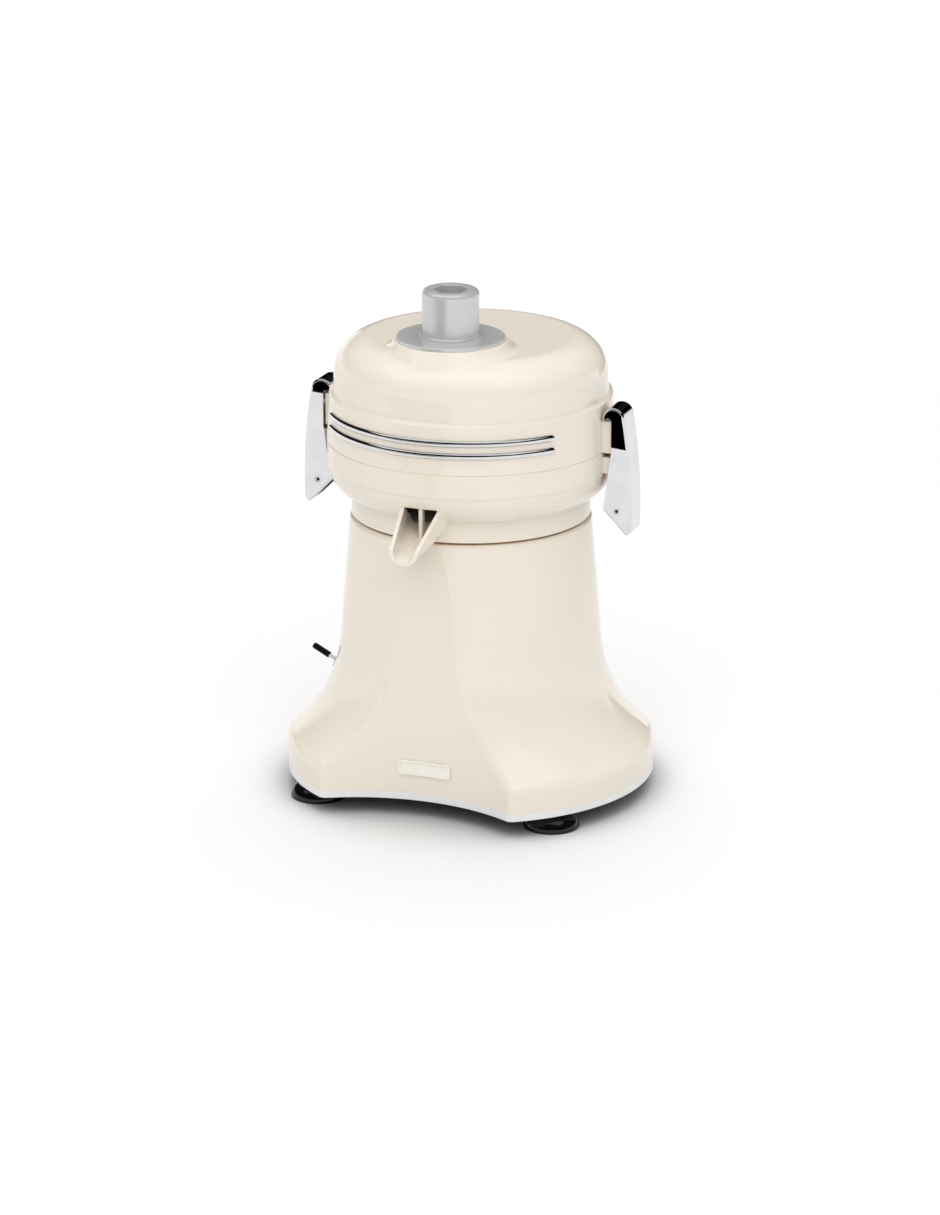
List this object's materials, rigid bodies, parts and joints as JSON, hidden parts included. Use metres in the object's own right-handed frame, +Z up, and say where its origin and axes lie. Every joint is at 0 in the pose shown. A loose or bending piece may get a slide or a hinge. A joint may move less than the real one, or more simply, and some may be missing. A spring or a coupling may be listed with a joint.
{
  "type": "juice extractor",
  "caption": "Upright motor-driven juice extractor: bell-shaped painted base, spouted bowl with a spinning strainer, latched domed lid and feed tube.",
  "frame": {"origin": "on the table under the axis of the drive shaft, level with the soles of the feet", "axes": "+Z up along the drive shaft, -Y to the front where the spout points, +X to the right"},
  "size_m": [0.3, 0.3, 0.4257],
  "materials": {
    "cream_paint": "gloss cream enamel on cast metal",
    "bare_steel": "plain zinc-bright steel",
    "foot_rubber": "smooth black rubber",
    "gasket_rubber": "soft tan rubber",
    "cast_aluminium": "as cast",
    "core_iron": "stacked core sheet",
    "winding_copper": "varnished copper wire",
    "black_plastic": "matt black",
    "switch_metal": "nickel plated",
    "sleeve_plastic": "gloss black",
    "strainer_steel": "polished stainless",
    "satin_metal": "satin turned metal",
    "latch_chrome": "bright chrome plate",
    "trim_chrome": "bright plated trim",
    "badge_ivory": "pale ivory enamel on a pressed plate"
  },
  "bodies": {
    "root": {"base_housing": "cream_paint", "bottom_plate": "bare_steel", "feet": "foot_rubber", "foot_screws": "bare_steel", "upper_motor_bracket": "cast_aluminium", "motor_bracket_screws": "bare_steel", "lower_motor_bracket": "cast_aluminium", "motor_tie_bolts": "bare_steel", "stator_core": "core_iron", "stator_windings": "winding_copper", "upper_bearing": "bare_steel", "lower_bearing": "bare_steel", "start_capacitor": "black_plastic", "capacitor_clamp": "bare_steel", "clamp_screws": "bare_steel", "switch_body": "switch_metal", "switch_nut": "switch_metal", "cord_gland": "black_plastic", "cord_gland_nut": "black_plastic", "bowl_gasket": "gasket_rubber", "bowl": "cream_paint", "bowl_screws": "bare_steel", "shaft_seal": "gasket_rubber", "lid_gasket": "gasket_rubber", "lid": "cream_paint", "feed_tube": "satin_metal", "feed_tube_lock_ring": "satin_metal", "latch_pin_right": "bare_steel", "latch_pin_left": "bare_steel", "lid_trim_strips": "trim_chrome", "front_badge": "badge_ivory"},
    "spinner": {"rotor_core": "core_iron", "drive_shaft": "bare_steel", "cooling_fan": "black_plastic", "slinger": "strainer_steel", "basket_hub": "cast_aluminium", "strainer_basket": "strainer_steel", "grater_disc": "strainer_steel", "basket_washer": "strainer_steel", "basket_nut": "strainer_steel"},
    "right_latch": {"latch_right": "latch_chrome"},
    "left_latch": {"latch_left": "latch_chrome"},
    "switch_toggle": {"switch_lever": "switch_metal", "switch_sleeve": "sleeve_plastic"}
  },
  "joints": [
    {"name": "basket_spin", "type": "hinge", "parent": "root", "child": "spinner", "pos_m": [0, 0, 0.15], "axis": [0, 0, 1], "continuous": true},
    {"name": "right_latch_swing", "type": "hinge", "parent": "root", "child": "right_latch", "pos_m": [0.129, 0, 0.246], "axis": [0, 1, 0], "range_deg": [0, 115]},
    {"name": "left_latch_swing", "type": "hinge", "parent": "root", "child": "left_latch", "pos_m": [-0.129, 0, 0.246], "axis": [0, -1, 0], "range_deg": [0, 115]},
    {"name": "switch_throw", "type": "hinge", "parent": "root", "child": "switch_toggle", "pos_m": [-0.11479, 0, 0.08611], "axis": [0.3907, 0, 0.9205], "range_deg": [0, 18]}
  ]
}
